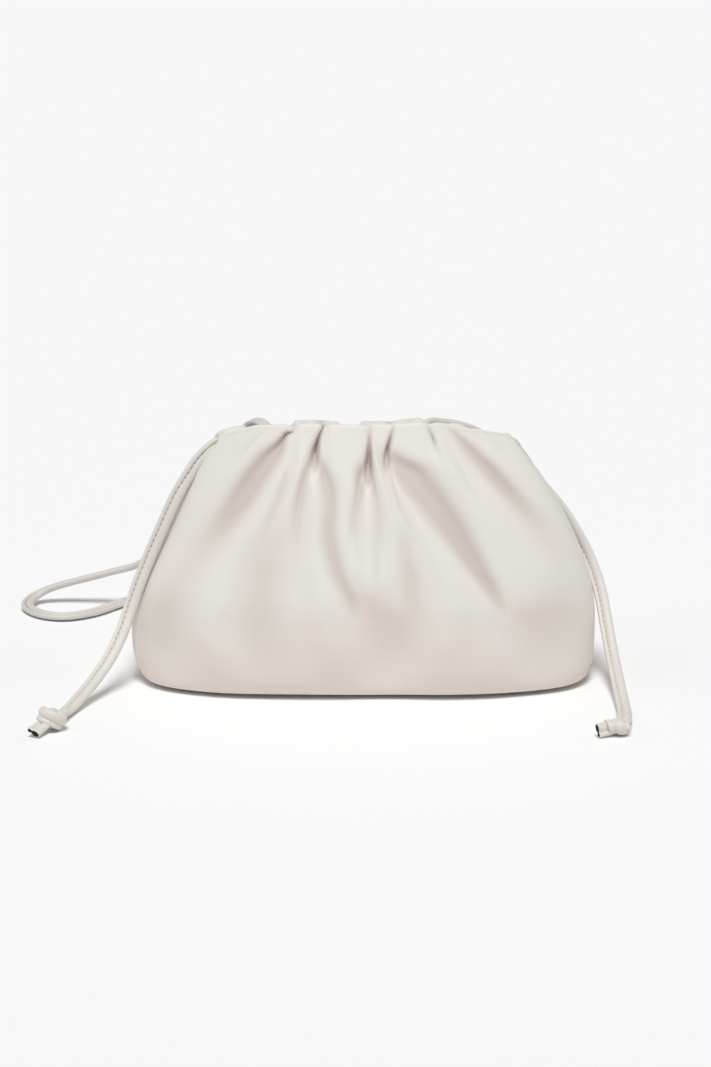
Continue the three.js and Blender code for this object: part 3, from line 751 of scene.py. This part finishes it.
def nappa(name, light):
    material = bpy.data.materials.new(name)
    material.use_nodes = True
    tree = material.node_tree
    tree.nodes.clear()
    place = add(tree, "ShaderNodeTexCoord").outputs["Object"]
    mottle = add(tree, "ShaderNodeTexNoise", {"Vector": place, "Scale": 1 / (MOTTLE * MM), "Detail": 3})
    colour = add(
        tree, "ShaderNodeMix",
        {"Factor": mottle.outputs["Fac"], COLOUR_A: linear(light), COLOUR_B: linear(NAPPA_MOTTLE)},
        data_type="RGBA",
    )
    # Painted shade: the colour is mixed towards a darker, rosier tone away from the light above, and towards a
    # darker one in the creases.
    for title, tone in (("painted_upright_shade", NAPPA_UPRIGHT_SHADE), ("painted_crease_shade", NAPPA_CREASE_SHADE)):
        share = add(tree, "ShaderNodeAttribute", attribute_name=title)
        colour = add(
            tree, "ShaderNodeMix",
            {"Factor": share.outputs["Fac"], COLOUR_A: colour.outputs[MIXED], COLOUR_B: linear(tone)},
            data_type="RGBA",
        )
    grain = add(tree, "ShaderNodeTexVoronoi", {"Vector": place, "Scale": 1 / (GRAIN * MM)})
    pores = add(tree, "ShaderNodeTexNoise", {"Vector": place, "Scale": 1 / (PORE * MM), "Detail": 2})
    relief = add(
        tree, "ShaderNodeMath",
        {0: grain.outputs["Distance"], 1: pores.outputs["Fac"]},
        operation="ADD",
    )
    bump = add(
        tree, "ShaderNodeBump",
        {"Height": relief.outputs["Value"], "Strength": GRAIN_STRENGTH, "Distance": GRAIN_DEPTH * MM},
    )
    gloss = add(
        tree, "ShaderNodeMapRange",
        {
            "Value": mottle.outputs["Fac"],
            "To Min": NAPPA_ROUGHNESS - ROUGHNESS_SPREAD,
            "To Max": NAPPA_ROUGHNESS + ROUGHNESS_SPREAD,
        },
    )
    skin = add(
        tree, "ShaderNodeBsdfPrincipled",
        {
            "Base Color": colour.outputs[MIXED],
            "Roughness": gloss.outputs["Result"],
            "Normal": bump.outputs["Normal"],
            "IOR": NAPPA_IOR,
        },
    )
    add(tree, "ShaderNodeOutputMaterial", {"Surface": skin.outputs["BSDF"]})
    return material


pouch.data.materials.append(nappa("ivory_nappa_leather", NAPPA_LIGHT))
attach(pouch, "root")
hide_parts("pouch_body")


# The drawstring: a flat leather cord, rolled over a round filler and closed by a stitched flange on one
# side. One length runs through the back hem, where the leather covers it, and leaves by a slit at each end
# of the mouth. Both free ends fall over the side of the pouch to the floor.
CORD_THICK = 4
ROUND_PLACE = 1.15
ROUND_HALF = 2.35
FLANGE_PLACE = -2.4
FLANGE_HALF = 1.1
FLANGE_THICK = 2.5
FLANGE_SQUARE = 3
GROOVE_PLACE = -1.28
GROOVE_HALF = 0.4
GROOVE_THICK = 1.5
CORD_STEP = 1.2
CURVE_STEPS = 40
TINY = 1e-9
OUTLINE_PLACES = (
    -3.5, -3.42, -3.2, -2.8, -2.2, -1.75, -1.5, -1.28, -1.05, -0.8, -0.4, 0.2, 0.9, 1.6, 2.3, 2.85,
    3.25, 3.44, 3.5,
)
STITCH_PITCH = 3
STITCH_LONG = 2.1
STITCH_THICK = 0.62
STITCH_PROUD = 0.12
STITCH_END = 2
TAIL_STITCH_START = 14
HOLE_LONG = 0.7
HOLE_THICK = 0.6
LEFT_TAIL = [
    (-69.6, 6.1, 120.5), (-76.6, 2.6, 118.6), (-83.8, -2.1, 112.8), (-89.4, -5.3, 104.8),
    (-95.6, -8.4, 94.6), (-102.3, -11.4, 80.2), (-109, -14, 65.2), (-114.2, -16.8, 52.6),
    (-118.2, -20.4, 41.8), (-122.6, -28, 29.6), (-127.8, -38, 19.4), (-134.9, -50, 10.6),
    (-141.4, -63, 5.2), (-146, -75, 2.8), (-148.5, -84.6, 3.9),
]
RIGHT_TAIL = [
    (69.7, 6.1, 120.5), (76.8, 8.6, 118.2), (81.6, 16.8, 110.6), (89.4, 20.4, 98.2), (101.2, 19.2, 84.6),
    (110.6, 16.8, 70.4), (118.6, 13, 55.2), (123.4, 5, 41.4), (126, -8, 26.6), (127.9, -24, 14),
    (128.8, -42, 7.6), (129.1, -58, 4.2), (129, -74, 2.8), (128.4, -85, 3), (127.2, -93.1, 4.2),
]

# The direction of the cord's round side, by share of its length. FLAT is level, to the left of its way.
Side = namedtuple("Side", "at wide")
FLAT = None
RIGHT = (1, 0, 0)
UP = (0, 0, 1)
DOWN = (0, 0, -1)
LEFT_SIDES = [Side(0, DOWN), Side(0.14, DOWN), Side(0.3, RIGHT), Side(1, RIGHT)]
RIGHT_SIDES = [Side(0, UP), Side(0.1, UP), Side(0.22, (0.8, -0.6, 0)), Side(0.4, RIGHT), Side(1, RIGHT)]


def unit(vectors):
    return vectors / np.linalg.norm(vectors, axis=-1, keepdims=True)


def smooth_line(points, step):
    """An even walk along a smooth line through the points."""
    points = np.asarray(points, float)
    wider = np.vstack([2 * points[0] - points[1], points, 2 * points[-1] - points[-2]])
    share = np.linspace(0, 1, CURVE_STEPS, endpoint=False)[:, None]
    fine = []
    for before, here, after, beyond in zip(wider, wider[1:], wider[2:], wider[3:]):
        steps = ((before, here), (here, after), (after, beyond))
        near, mid, far = (np.linalg.norm(end - start) ** 0.5 for start, end in steps)
        rise = (here - before) / near - (after - before) / (near + mid) + (after - here) / mid
        fall = (after - here) / mid - (beyond - here) / (mid + far) + (beyond - after) / far
        fine.append(hermite(share, here, after, rise * mid, fall * mid))
    fine = np.vstack([*fine, points[-1:]])
    walked = np.concatenate([[0], np.cumsum(np.linalg.norm(np.diff(fine, axis=0), axis=1))])
    even = np.linspace(0, walked[-1], max(2, round(walked[-1] / step)) + 1)
    return np.stack([np.interp(even, walked, values) for values in fine.T], axis=1)


def length_of(line):
    return np.linalg.norm(np.diff(line, axis=0), axis=1).sum()


def laid(line, sides):
    """The directions of a flat cord's wide and thin sides at each point of its line."""
    along = unit(np.gradient(line, axis=0))
    level = unit(np.stack([-along[:, 1], along[:, 0], np.full(len(along), TINY)], axis=1))
    at = np.array([side.at for side in sides])
    ways = [level if side.wide is FLAT else np.tile(side.wide, (len(line), 1)) for side in sides]
    ways = np.array(ways)
    share = np.linspace(0, 1, len(line))
    row = np.clip(np.searchsorted(at, share) - 1, 0, len(at) - 2)
    part = ((share - at[row]) / (at[row + 1] - at[row]))[:, None]
    here = np.arange(len(line))
    wide = ways[row, here] * (1 - part) + ways[row + 1, here] * part
    wide = unit(wide - along * (wide * along).sum(axis=1, keepdims=True))
    return wide, np.cross(wide, along)


def cord_outline():
    """The cord cut across: round on one side, a thin flange on the other, a stitched groove between."""
    across = np.array(OUTLINE_PLACES)
    rounded = CORD_THICK / 2 * np.sqrt(np.clip(1 - ((across - ROUND_PLACE) / ROUND_HALF) ** 2, 0, None))
    bulge = np.clip(1 - np.abs((across - FLANGE_PLACE) / FLANGE_HALF) ** FLANGE_SQUARE, 0, None)
    flange = FLANGE_THICK / 2 * bulge ** (1 / FLANGE_SQUARE)
    groove = np.where(np.abs(across - GROOVE_PLACE) < GROOVE_HALF, GROOVE_THICK / 2, 0)
    half = np.maximum(np.maximum(rounded, flange), groove)
    there = np.stack([across, half], axis=1)
    return np.vstack([there, (there * [1, -1])[-2:0:-1]])


def swept(line, wide, thin, outline):
    return line[:, None] + wide[:, None] * outline[None, :, :1] + thin[:, None] * outline[None, :, 1:]


def cord_object(name, line, sides):
    wide, thin = laid(line, sides)
    rows = swept(line, wide, thin, cord_outline())
    return mesh_object(name, *closed_shell(rows, line[0], line[-1]))


# Stitches repeat along the groove, so one node tree lays them: a thread, or a bead of painted hole shade, at
# every pitch of a line.
def stitch_tree():
    tree = bpy.data.node_groups.new("stitch_row", "GeometryNodeTree")
    tree.interface.new_socket("Lines", in_out="INPUT", socket_type="NodeSocketGeometry")
    for title in ("Pitch", "Length", "Thickness"):
        tree.interface.new_socket(title, in_out="INPUT", socket_type="NodeSocketFloat")
    tree.interface.new_socket("Material", in_out="INPUT", socket_type="NodeSocketMaterial")
    tree.interface.new_socket("Stitches", in_out="OUTPUT", socket_type="NodeSocketGeometry")
    given = add(tree, "NodeGroupInput").outputs
    curve = add(tree, "GeometryNodeMeshToCurve", {"Mesh": given["Lines"]})
    spaced = add(
        tree, "GeometryNodeResampleCurve",
        {"Curve": curve.outputs["Curve"], "Length": given["Pitch"]},
        mode="LENGTH",
    )
    bead = add(tree, "GeometryNodeMeshUVSphere", {"Segments": 8, "Rings": 5, "Radius": 0.5})
    soft = add(tree, "GeometryNodeSetShadeSmooth", {"Geometry": bead.outputs["Mesh"]})
    tangent = add(tree, "GeometryNodeInputTangent")
    turn = add(tree, "FunctionNodeAlignRotationToVector", {"Vector": tangent.outputs["Tangent"]}, axis="Z")
    size = add(
        tree, "ShaderNodeCombineXYZ",
        {"X": given["Thickness"], "Y": given["Thickness"], "Z": given["Length"]},
    )
    placed = add(
        tree, "GeometryNodeInstanceOnPoints",
        {
            "Points": spaced.outputs["Curve"],
            "Instance": soft.outputs["Geometry"],
            "Rotation": turn.outputs["Rotation"],
            "Scale": size.outputs["Vector"],
        },
    )
    real = add(tree, "GeometryNodeRealizeInstances", {"Geometry": placed.outputs["Instances"]})
    painted = add(
        tree, "GeometryNodeSetMaterial",
        {"Geometry": real.outputs["Geometry"], "Material": given["Material"]},
    )
    add(tree, "NodeGroupOutput", {"Stitches": painted.outputs["Geometry"]})
    return tree


def stitch_lines(line, wide, thin, start):
    """The two lines of stitches, one in the groove of each face, from a start along the cord."""
    first = round(start / length_of(line) * (len(line) - 1))
    last = len(line) - 1 - round(STITCH_END / length_of(line) * (len(line) - 1))
    groove = line + wide * GROOVE_PLACE
    return [(groove + thin * side * (GROOVE_THICK / 2 + STITCH_PROUD))[first:last] for side in (1, -1)]


def stitched(name, lines, long, thick, shift, material):
    """Beads of one length at every pitch along the lines, shifted by some points, as a plain mesh."""
    lines = [line[shift:] for line in lines]
    counts = np.cumsum([0] + [len(line) for line in lines])
    edges = [(k, k + 1) for start, end in zip(counts, counts[1:]) for k in range(start, end - 1)]
    mesh = bpy.data.meshes.new(name)
    mesh.from_pydata((np.vstack(lines) * MM).tolist(), edges, [])
    made = bpy.data.objects.new(name, mesh)
    bpy.context.scene.collection.objects.link(made)
    modifier = made.modifiers.new("stitches", "NODES")
    modifier.node_group = stitch_rows
    sizes = {"Pitch": STITCH_PITCH * MM, "Length": long * MM, "Thickness": thick * MM, "Material": material}
    for item in stitch_rows.interface.items_tree:
        if item.name in sizes:
            modifier[item.identifier] = sizes[item.name]
    graph = bpy.context.evaluated_depsgraph_get()
    made.data = bpy.data.meshes.new_from_object(made.evaluated_get(graph))
    made.modifiers.clear()
    return made


def plain_material(name, colour, roughness):
    material = bpy.data.materials.new(name)
    material.use_nodes = True
    skin = material.node_tree.nodes["Principled BSDF"]
    skin.inputs["Base Color"].default_value = linear(colour)
    skin.inputs["Roughness"].default_value = roughness
    return material


# Waxed thread: tightly twisted polyester, with a soft shine that keeps each stitch apart from the leather.
THREAD_COLOUR = "#cfc8bd"
THREAD_ROUGHNESS = 0.45
# Needle holes: painted shade, matt brown beads laid between the stitches for the shade inside each hole, seen
# as a darker point between two stitches.
HOLE_SHADE_COLOUR = "#6d635a"
HOLE_ROUGHNESS = 0.9

stitch_rows = stitch_tree()
# Painted shade: the cords' leather is coloured a shade darker than the pouch's.
cord_nappa = nappa("ivory_cord_leather", CORD_SHADED_TONE)
thread = plain_material("waxed_thread", THREAD_COLOUR, THREAD_ROUGHNESS)
hole = plain_material("needle_hole_shade", HOLE_SHADE_COLOUR, HOLE_ROUGHNESS)

tails = {}
for side, points, sides in (("left", LEFT_TAIL, LEFT_SIDES), ("right", RIGHT_TAIL, RIGHT_SIDES)):
    line = smooth_line(points, CORD_STEP)
    tail = cord_object(f"drawstring_{side}_end", line, sides)
    tail.data.materials.append(cord_nappa)
    rows = stitch_lines(line, *laid(line, sides), start=TAIL_STITCH_START)
    threads = stitched(f"drawstring_{side}_thread", rows, STITCH_LONG, STITCH_THICK, 0, thread)
    hole_shades = stitched(f"drawstring_{side}_holes", rows, HOLE_LONG, HOLE_THICK, 1, hole)
    tails[side] = tail, line, [threads, hole_shades]
    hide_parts(f"drawstring_{side}")


# The way of the drawstring in the hem: how near it comes to the ends, in how many points, how square its
# turns are, how far it sinks with the ends of the rim, and how far it lies below the middle of the hem.
RUN_REACH = 0.93
RUN_POINTS = 13
RUN_SQUARE = 3.4
RUN_DROP = 0.45
RUN_BELOW = 0.4


def hem_line():
    """The way of the drawstring through the back hem, along the middle of the hem."""
    rim = Course(*(value[-1:] for value in courses_of(np.array([len(SECTIONS) - 1.0]))))
    middle = rim._replace(
        half_width=rim.half_width - END_HEM / 2,
        half_depth=(rim.half_depth + MOUTH_GAP / 2) / 2,
        back=rim.back / 2,
        z=rim.z - HEM_HEIGHT / 2 - RUN_BELOW,
        square=np.array([RUN_SQUARE]),
        drop=np.array([RUN_DROP]),
    )
    across = np.linspace(-RUN_REACH, RUN_REACH, RUN_POINTS)
    return shell_points(2 * math.pi - np.arccos(signed_power(-across, RUN_SQUARE / 2)), middle)[0][0]


run = cord_object("drawstring_in_hem", smooth_line(hem_line(), CORD_STEP), [Side(0, UP), Side(1, UP)])
run.data.materials.append(cord_nappa)
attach(run, "root")
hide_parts("drawstring_run")


# The knots: an overhand knot pulled tight in each free end of the drawstring, resting on the floor. A few
# millimetres of cord stick out of the wrap, cut across, so that the dark filler shows inside its thin cover.
KNOT_STEP = 0.5
KNOT_SQUEEZE = 0.8
WRAP_POINTS = 60
WRAP_TUCK = 0.45
WRAP_TUCK_TURN = 0.16
CUT_INSET = 0.88
CUT_PROUD = 0.06
KNOT_OUTLINE = cord_outline() * [1, KNOT_SQUEEZE]
# The middle of the wrap, the way from the cord to the cut end, the way across it, the half sizes of the
# wrap across and to the front, the turns it starts and ends at, its advance in each turn, and how wide the
# cord lies.
Wrap = namedtuple("Wrap", "at axis across half_across half_near start end advance spread")
# A stretch of the cord in the knot: its points, and the direction of its wide side at the first and last.
Stretch = namedtuple("Stretch", "points first last")
LEFT_ACROSS = (-0.89, 0.12, 0.44)
KNOTS = {
    "left": (
        Wrap(
            at=(-151.5, -97, 6.3), axis=(-0.46, -0.25, -0.86), across=LEFT_ACROSS,
            half_across=5.6, half_near=4.4, start=-0.6, end=0.6, advance=1.5, spread=1.08,
        ),
        Stretch([(-148.5, -84.6, 3.9), (-150, -91, 5.4), (-151.5, -96.5, 6.2)], RIGHT, RIGHT),
        Stretch(
            [(-150.4, -91.6, 6.6), (-150.5, -95.6, 8.2), (-151.2, -99.4, 6.8)],
            LEFT_ACROSS, LEFT_ACROSS,
        ),
        Stretch(
            [(-152.5, -97.5, 5.4), (-155.8, -102.4, 4), (-159, -109, 2.9)],
            RIGHT, (0.93, -0.1, -0.35),
        ),
    ),
    "right": (
        Wrap(
            at=(122.2, -104.6, 4.5), axis=(-1, 0, 0), across=(0, 0.26, 0.97),
            half_across=2.5, half_near=3.6, start=-0.75, end=0.75, advance=4.4, spread=1.25,
        ),
        Stretch([(127.2, -93.1, 4.2), (126.6, -97.5, 5), (125.4, -102.5, 4.6)], RIGHT, RIGHT),
        Stretch(
            [(128.4, -104.2, 4.6), (122, -104.6, 4.4), (117, -106.4, 4), (112.8, -108.6, 3.8)],
            (0, 1, 0), (-0.36, 0.24, 0.9),
        ),
    ),
}


def wrap_line(wrap):
    """A coil round the knot's axis, with both ends tucked in."""
    axis = unit(np.array(wrap.axis, float))
    across = np.array(wrap.across, float)
    across = unit(across - axis * across.dot(axis))
    near = np.cross(across, axis)
    turn = np.linspace(wrap.start, wrap.end, WRAP_POINTS)
    loose = ease(0, WRAP_TUCK_TURN, turn - wrap.start) * ease(0, WRAP_TUCK_TURN, wrap.end - turn)
    tucked = WRAP_TUCK + (1 - WRAP_TUCK) * loose
    angle = 2 * math.pi * turn
    round_it = np.outer(wrap.half_across * np.sin(angle) * tucked, across)
    round_it += np.outer(wrap.half_near * np.cos(angle) * tucked, near)
    return np.array(wrap.at) + round_it + np.outer(turn * wrap.advance, axis)


def joined(*shells):
    """Several meshes, as pairs of vertices and faces, made one."""
    vertices, faces = [], []
    for points, corners in shells:
        start = sum(len(v) for v in vertices)
        vertices.append(points)
        faces += [[start + k for k in face] for face in corners]
    return np.vstack(vertices), faces


# Cut filler: the bare core of the cord, dark and matt, which makes a small dark end inside the pale cover.
FILLER_COLOUR = "#17110d"
FILLER_ROUGHNESS = 0.85

cut_filler = plain_material("dark_cut_filler", FILLER_COLOUR, FILLER_ROUGHNESS)
for side, (wrap, *stretches) in KNOTS.items():
    coil = smooth_line(wrap_line(wrap), KNOT_STEP)
    inward = tuple(-np.array(wrap.axis))
    coil_ways = laid(coil, [Side(0, inward), Side(1, inward)])
    coil_rows = swept(coil, *coil_ways, KNOT_OUTLINE * [wrap.spread, 1])
    shells = [closed_shell(coil_rows, coil[0], coil[-1])]
    for stretch in stretches:
        strand = smooth_line(stretch.points, KNOT_STEP)
        strand_ways = laid(strand, [Side(0, stretch.first), Side(1, stretch.last)])
        strand_rows = swept(strand, *strand_ways, KNOT_OUTLINE)
        shells.append(closed_shell(strand_rows, strand[0], strand[-1]))
    knot = mesh_object(f"knot_{side}_tied", *joined(*shells))
    knot.data.materials.append(cord_nappa)
    outward = unit(strand[-1] - strand[-2])
    rim_ring = strand[-1] + (strand_rows[-1] - strand[-1]) * CUT_INSET + outward * CUT_PROUD
    cut = mesh_object(f"knot_{side}_cut", rim_ring, [list(range(len(rim_ring)))])
    cut.data.materials.append(cut_filler)
    tail, line, sewn = tails[side]
    for piece in (tail, knot, cut, *sewn):
        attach(piece, "root")
    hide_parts(f"knot_{side}")


# The shoulder strap: the same stitched leather cord, a little over a metre long, sewn inside the mouth at
# both ends. It comes out over the back rim, falls behind the pouch and lies in loose bends on the floor, one
# of them in sight at the left.
STRAP_STITCH_START = 36
STRAP = [
    (-47, 0.5, 113), (-47.2, 0.5, 119.5), (-48, 2, 125.6), (-52.2, 6.8, 129.8), (-56.6, 11.4, 129.2),
    (-61.6, 17.6, 123.2), (-70, 31, 107), (-94, 66, 64), (-109, 91, 42), (-125.2, 107, 26.6),
    (-143, 115.5, 19.5), (-177.6, 120.6, 8.5), (-185.4, 117.6, 5.1), (-189, 108.5, 3.2), (-186, 98.5, 2.5),
    (-176.5, 88.1, 2.4), (-165.4, 85.2, 2.4), (-152.2, 91.9, 2.4), (-126, 121, 2.4), (-50, 140, 2.4),
    (10, 140, 2.4), (70, 146, 2.4), (89, 160, 2.4), (82, 175, 2.4), (-40, 176, 2.4), (-66, 169.5, 2.4),
    (-71.5, 158.5, 2.4), (-58, 151.5, 2.4), (-24, 152, 4.4), (22, 140, 7.6), (88, 96, 14), (97, 79, 34),
    (92.5, 63, 60), (81, 40, 92), (69.5, 26, 110.5), (60, 20.2, 120.8), (49, 17.6, 125.5), (40, 14.4, 127.4),
    (33.4, 8.6, 128.4), (29.4, 1.2, 124.8), (28.2, -0.4, 119.5), (28, 0, 113),
]
STRAP_SIDES = [
    Side(0, RIGHT), Side(0.01, RIGHT), Side(0.018, (0.75, 0.65, 0)), Side(0.03, (0.75, 0.65, 0)),
    Side(0.05, (0.2, 0.85, 0.45)), Side(0.08, FLAT), Side(0.925, FLAT), Side(0.955, (-0.15, -0.5, 0.85)),
    Side(0.982, (-0.1, -0.35, 0.93)), Side(0.992, RIGHT), Side(1, RIGHT),
]

strap_line = smooth_line(STRAP, CORD_STEP)
strap = cord_object("stitched_strap", strap_line, STRAP_SIDES)
# Painted shade: the strap's leather is darker still, for the shade it lies in beside and behind the pouch.
strap.data.materials.append(nappa("ivory_strap_leather", STRAP_SHADED_TONE))
strap_rows = stitch_lines(strap_line, *laid(strap_line, STRAP_SIDES), start=STRAP_STITCH_START)
strap_sewn = [
    stitched("strap_thread", strap_rows, STITCH_LONG, STITCH_THICK, 0, thread),
    stitched("strap_holes", strap_rows, HOLE_LONG, HOLE_THICK, 1, hole),
]
for piece in (strap, *strap_sewn):
    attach(piece, "root")
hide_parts("shoulder_strap")


# The studio: a sheet of white paper to stand on, one soft light from above and a little in front, a weak
# broad light from each side, and even light all round. The camera looks slightly down on the front, as in
# the photograph.
FLOOR_SIZE = 60
ROUND_LIGHT = 0.25
# Strength of each light, its spread in degrees, and its turns about x, y and z from straight down.
Light = namedtuple("Light", "strength spread turn")
LIGHTS = {
    "top_light": Light(2.27, 26, (21, 0, 0)),
    "left_light": Light(0.36, 60, (0, -62, 0)),
    "right_light": Light(0.24, 60, (0, 62, 0)),
}
CAMERA_DISTANCE = 1300
CAMERA_RISE = 15
CAMERA_TARGET = (-3.9, 0, 73)
CAMERA_LENS = 85
LONG_SIDE = 36

# White paper: matt and without any shine, so that it shows nothing but the soft shadows that fall on it.
PAPER_COLOUR = "#f6f6f6"
PAPER_ROUGHNESS = 0.9

half = FLOOR_SIZE / 2 / MM
sheet_corners = [(-half, -half, 0), (half, -half, 0), (half, half, 0), (-half, half, 0)]
sheet = mesh_object("white_sheet", sheet_corners, [[0, 1, 2, 3]])
paper = plain_material("white_paper", PAPER_COLOUR, PAPER_ROUGHNESS)
paper.node_tree.nodes["Principled BSDF"].inputs["Specular IOR Level"].default_value = 0
sheet.data.materials.append(paper)

scene = bpy.context.scene
scene.view_settings.view_transform = "Standard"
scene.world = bpy.data.worlds.new("studio")
scene.world.use_nodes = True
scene.world.node_tree.nodes["Background"].inputs["Color"].default_value = (1, 1, 1, 1)
scene.world.node_tree.nodes["Background"].inputs["Strength"].default_value = ROUND_LIGHT

for name, light in LIGHTS.items():
    lamp = bpy.data.objects.new(name, bpy.data.lights.new(name, "SUN"))
    lamp.data.energy = light.strength
    lamp.data.angle = math.radians(light.spread)
    lamp.rotation_euler = [math.radians(angle) for angle in light.turn]
    scene.collection.objects.link(lamp)

rise = math.radians(CAMERA_RISE)
camera = bpy.data.objects.new("camera", bpy.data.cameras.new("camera"))
camera.data.lens = CAMERA_LENS
camera.data.sensor_width = LONG_SIDE
back_by = CAMERA_DISTANCE * math.cos(rise)
up_by = CAMERA_DISTANCE * math.sin(rise)
camera.location = [v * MM for v in (CAMERA_TARGET[0], CAMERA_TARGET[1] - back_by, CAMERA_TARGET[2] + up_by)]
camera.rotation_euler = (math.pi / 2 - rise, 0, 0)
scene.collection.objects.link(camera)
scene.camera = camera
